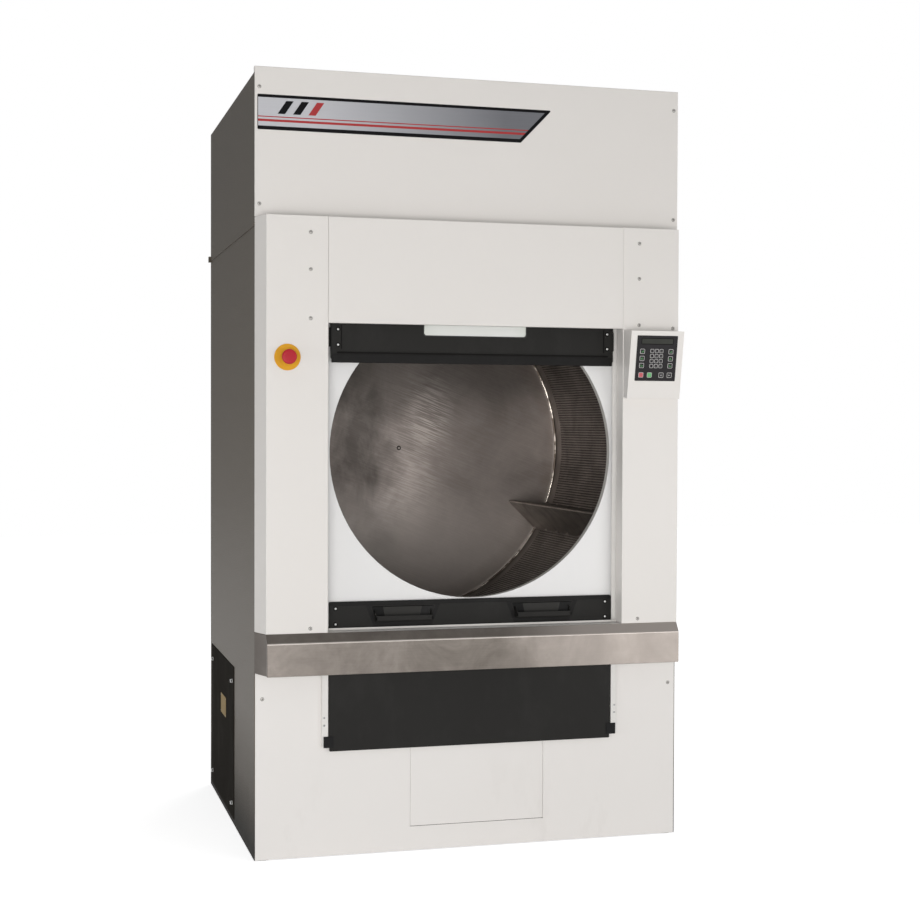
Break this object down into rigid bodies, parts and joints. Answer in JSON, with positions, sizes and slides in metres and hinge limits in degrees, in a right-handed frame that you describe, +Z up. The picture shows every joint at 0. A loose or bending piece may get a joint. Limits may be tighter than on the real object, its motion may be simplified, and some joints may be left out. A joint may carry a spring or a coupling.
{
  "type": "industrial tumble dryer",
  "caption": "Free-standing industrial tumble dryer with a round drum behind two sliding doors that move apart together, a stainless sill and a keypad box.",
  "frame": {"origin": "middle of the overall box on the floor, half way between the control box's front edge and the drum shaft's rear end", "axes": "+Z up, the front with its doors looks along -Y, +X to the right as seen from the front"},
  "size_m": [1.363, 1.393, 2.36],
  "materials": {
    "white_enamel": "smooth white enamel",
    "inner_white": "white enamel, slightly cooler",
    "side_paint": "dark grey hammered paint",
    "black_paint": "black satin paint",
    "door_black": "black powder coat",
    "sill_stainless": "brushed stainless",
    "drum_stainless": "stainless, polished in swirls",
    "rim_metal": "light grey",
    "track_metal": "satin anodised",
    "trim_film": "printed film",
    "zinc": "zinc plated",
    "frame_paint": "dark primer",
    "glass": "milky, tinted green",
    "rubber": "black",
    "felt": "grey brown felt",
    "black_plastic": "black nylon",
    "motor_paint": "blue grey",
    "bearing_iron": "painted iron",
    "copper_coil": "copper and aluminium fins",
    "keypad_film": "satin film",
    "stop_yellow": "yellow",
    "stop_red": "red"
  },
  "bodies": {
    "cabinet": {"base_frame": "frame_paint", "levelling_feet": "zinc", "left_side_panel": "side_paint", "right_side_panel": "side_paint", "rear_panel": "side_paint", "lower_front_panel": "white_enamel", "lint_cover": "white_enamel", "front_plate": "inner_white", "opening_rim": "rim_metal", "drum_seal": "felt", "left_column_cover": "white_enamel", "right_column_cover": "white_enamel", "upper_front_panel": "white_enamel", "sill": "sill_stainless", "top_front_panel": "white_enamel", "trim_band": "trim_film", "upper_housing": "side_paint", "side_access_panel": "black_paint", "panel_latches": "zinc", "panel_screws": "zinc", "door_tracks": "track_metal", "door_belts": "rubber", "door_stub_shafts": "zinc", "bearing_frame": "frame_paint", "drive_bearings": "bearing_iron", "drive_belts": "rubber", "drive_motor": "motor_paint", "blower_housing": "zinc", "blower_motor": "motor_paint", "exhaust_collar": "zinc", "lint_screen": "zinc", "steam_coil": "copper_coil", "power_inlet": "black_plastic", "control_box": "white_enamel", "keypad": "keypad_film", "stop_base": "stop_yellow"},
    "lower_door": {"lower_door": "door_black", "door_handles": "door_black", "lower_door_brackets": "door_black", "lower_door_glides": "black_plastic"},
    "upper_door": {"upper_door": "door_black", "window_glass": "glass", "window_gasket": "rubber", "upper_door_brackets": "door_black", "upper_door_glides": "black_plastic"},
    "drum": {"drum_shell": "drum_stainless", "drum_back": "drum_stainless", "drum_front_ring": "drum_stainless", "drum_lifters": "drum_stainless", "drum_shaft": "zinc", "drum_pulley": "bearing_iron"},
    "jackshaft": {"jackshaft": "zinc"},
    "motor_rotor": {"motor_pulley": "zinc"},
    "blower_rotor": {"blower_wheel": "zinc"},
    "pulley_upper_left": {"door_pulley_upper_left": "zinc"},
    "pulley_upper_right": {"door_pulley_upper_right": "zinc"},
    "pulley_lower_left": {"door_pulley_lower_left": "zinc"},
    "pulley_lower_right": {"door_pulley_lower_right": "zinc"},
    "stop_stem": {"stop_plunger": "zinc"},
    "stop_head": {"stop_button": "stop_red"}
  },
  "joints": [
    {"name": "lower_door_slide", "type": "slide", "parent": "cabinet", "child": "lower_door", "axis": [0, 0, 1], "range_m": [0, 0.44]},
    {"name": "upper_door_slide", "type": "slide", "parent": "cabinet", "child": "upper_door", "axis": [0, 0, 1], "range_m": [-0.286, 0]},
    {"name": "drum_spin", "type": "hinge", "parent": "cabinet", "child": "drum", "pos_m": [0, 0.4575, 1.219], "axis": [0, 1, 0], "continuous": true},
    {"name": "jackshaft_spin", "type": "hinge", "parent": "cabinet", "child": "jackshaft", "pos_m": [0.34, 0.5295, 0.76], "axis": [0, 1, 0], "continuous": true},
    {"name": "motor_spin", "type": "hinge", "parent": "cabinet", "child": "motor_rotor", "pos_m": [0.47, 0.5295, 0.42], "axis": [0, 1, 0], "continuous": true},
    {"name": "blower_spin", "type": "hinge", "parent": "cabinet", "child": "blower_rotor", "pos_m": [-0.12, 0.2415, 0.318], "axis": [1, 0, 0], "continuous": true},
    {"name": "pulley_upper_left_spin", "type": "hinge", "parent": "cabinet", "child": "pulley_upper_left", "pos_m": [-0.54, -0.5885, 1.86], "axis": [0, 1, 0], "range_deg": [-630.8, 0]},
    {"name": "pulley_upper_right_spin", "type": "hinge", "parent": "cabinet", "child": "pulley_upper_right", "pos_m": [0.54, -0.5885, 1.86], "axis": [0, 1, 0], "range_deg": [0, 630.8]},
    {"name": "pulley_lower_left_spin", "type": "hinge", "parent": "cabinet", "child": "pulley_lower_left", "pos_m": [-0.54, -0.5885, 0.625], "axis": [0, 1, 0], "range_deg": [-630.8, 0]},
    {"name": "pulley_lower_right_spin", "type": "hinge", "parent": "cabinet", "child": "pulley_lower_right", "pos_m": [0.54, -0.5885, 0.625], "axis": [0, 1, 0], "range_deg": [0, 630.8]},
    {"name": "stop_press", "type": "slide", "parent": "cabinet", "child": "stop_stem", "axis": [0, 1, 0], "range_m": [0, 0.005]},
    {"name": "stop_twist", "type": "hinge", "parent": "stop_stem", "child": "stop_head", "pos_m": [-0.586, -0.6485, 1.5], "axis": [0, 1, 0], "range_deg": [0, 35], "stiffness_Nm_per_rad": 0.05}
  ],
  "couplings": [
    {"joint": "upper_door_slide", "follows": "lower_door_slide", "ratio": -0.65},
    {"joint": "jackshaft_spin", "follows": "drum_spin", "ratio": 6.1139},
    {"joint": "motor_spin", "follows": "drum_spin", "ratio": 21.285},
    {"joint": "pulley_upper_left_spin", "follows": "lower_door_slide", "rad_per_m": -25},
    {"joint": "pulley_upper_right_spin", "follows": "lower_door_slide", "rad_per_m": 25},
    {"joint": "pulley_lower_left_spin", "follows": "lower_door_slide", "rad_per_m": -25},
    {"joint": "pulley_lower_right_spin", "follows": "lower_door_slide", "rad_per_m": 25}
  ]
}
